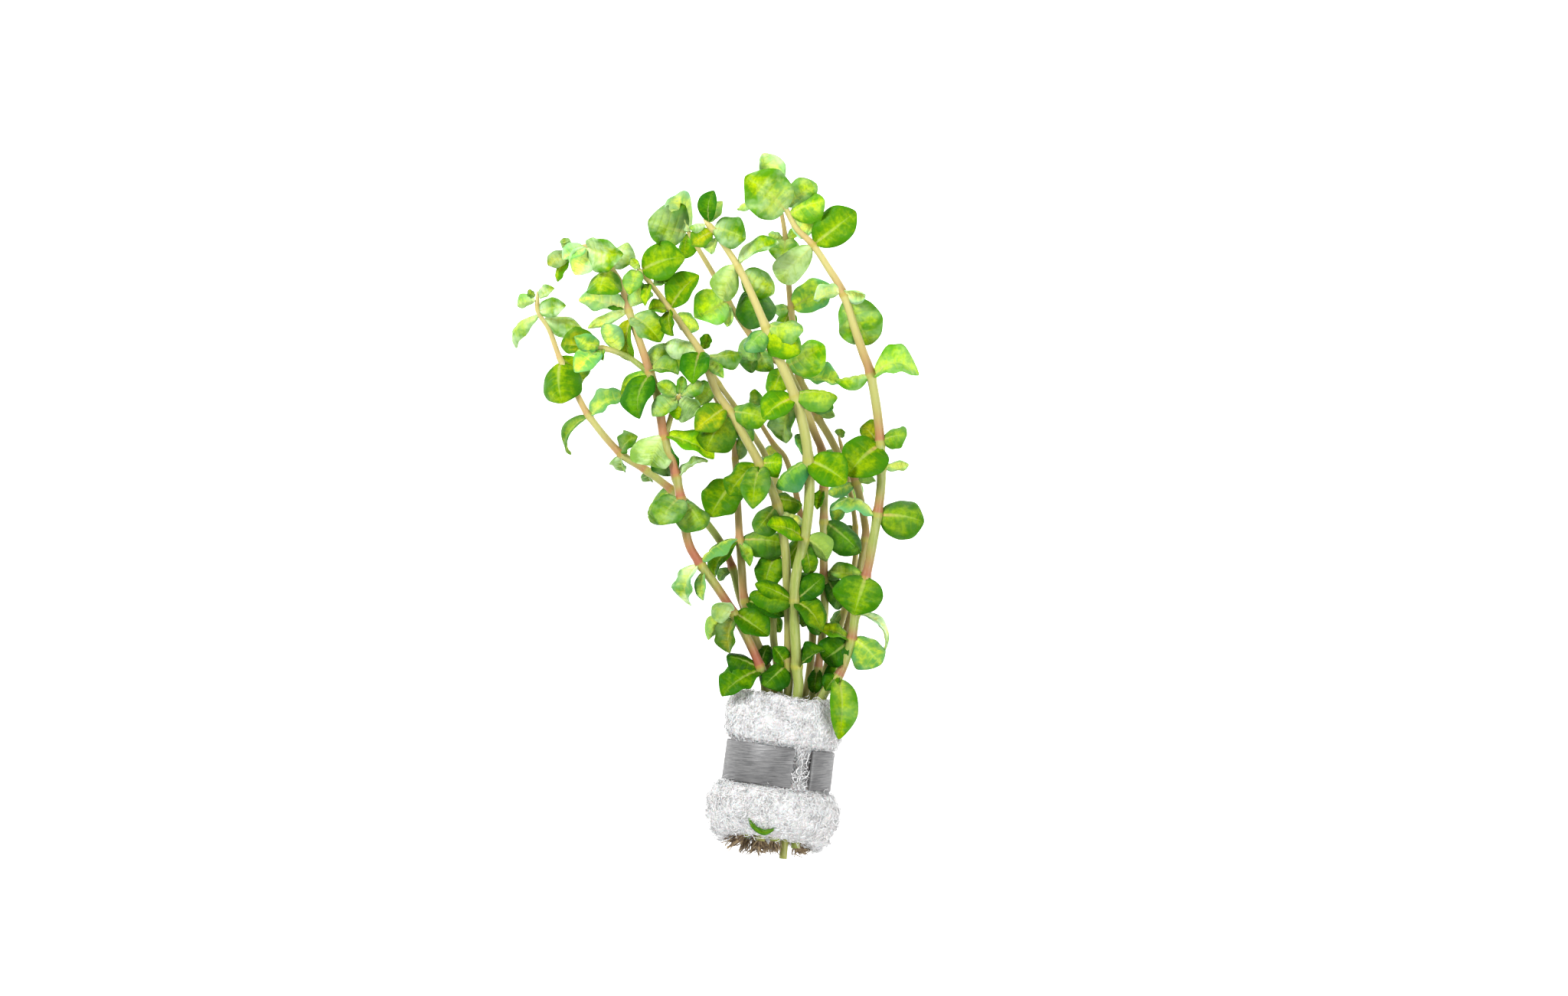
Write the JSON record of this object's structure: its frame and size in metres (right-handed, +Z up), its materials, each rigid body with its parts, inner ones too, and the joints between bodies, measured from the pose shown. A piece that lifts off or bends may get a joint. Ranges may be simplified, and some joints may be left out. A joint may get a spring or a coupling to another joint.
{
  "type": "bunch of rotala",
  "caption": "Bunch of cut rotala stems with small rounded leaves, their feet wrapped in white filter wool and held by a grey metal strip, lying on its side.",
  "frame": {"origin": "on the surface that the bunch lies on, under the middle of the bunch's bounding box", "axes": "+Y from the bound foot to the growing tips, +X to the right seen from above, +Z up from the surface"},
  "size_m": [0.1039, 0.175, 0.0341],
  "materials": {
    "leaf": "fresh green leaf, softly glossy above and paler below",
    "stem": "smooth yellow-green stem, reddish near the nodes",
    "wool": "white fluffy polyester filter wool",
    "band": "soft dull grey metal strip with fine lengthwise streaks"
  },
  "bodies": {
    "root": {"leaf_a_2_front": "leaf", "leaf_a_6_left": "leaf", "leaf_b_1_right": "leaf", "leaf_b_2_front": "leaf", "leaf_b_3_left": "leaf", "leaf_b_3_right": "leaf", "leaf_b_4_front": "leaf", "leaf_b_5_front": "leaf", "leaf_b_5_right": "leaf", "leaf_b_6_left": "leaf", "leaf_b_6_right": "leaf", "leaf_b_8_right": "leaf", "leaf_b_9_low": "leaf", "leaf_c_1_right": "leaf", "leaf_c_2_right": "leaf", "leaf_c_4_front": "leaf", "leaf_c_5_left": "leaf", "leaf_c_5_low": "leaf", "leaf_d_1_left": "leaf", "leaf_d_2_left": "leaf", "leaf_d_4_right": "leaf", "leaf_d_6_right": "leaf", "leaf_e_2_back": "leaf", "leaf_e_3_back": "leaf", "leaf_e_3_front": "leaf", "leaf_e_4_low": "leaf", "leaf_e_4_right": "leaf", "leaf_e_5_right": "leaf", "leaf_f_2_right": "leaf", "leaf_g_1_front": "leaf", "leaf_g_2_left": "leaf", "leaf_g_2_right": "leaf", "leaf_g_3_back": "leaf", "leaf_g_4_right": "leaf", "leaf_g_5_front": "leaf", "leaf_g_6_right": "leaf", "leaf_g_7_front": "leaf", "leaf_g_8_right": "leaf", "leaf_g_9_front": "leaf", "leaf_j_2_left": "leaf", "leaf_j_3_left": "leaf", "leaf_j_3_right": "leaf", "leaf_j_4_right": "leaf", "leaf_scrap": "leaf", "metal_band": "band", "shoot_b_left": "stem", "shoot_b_right": "stem", "stem_a": "stem", "stem_b": "stem", "stem_c": "stem", "stem_d": "stem", "stem_e": "stem", "stem_f": "stem", "stem_g": "stem", "stem_i": "stem", "stem_j": "stem", "stem_m": "stem", "stem_n": "stem", "wool_wrap": "wool"}
  },
  "joints": []
}
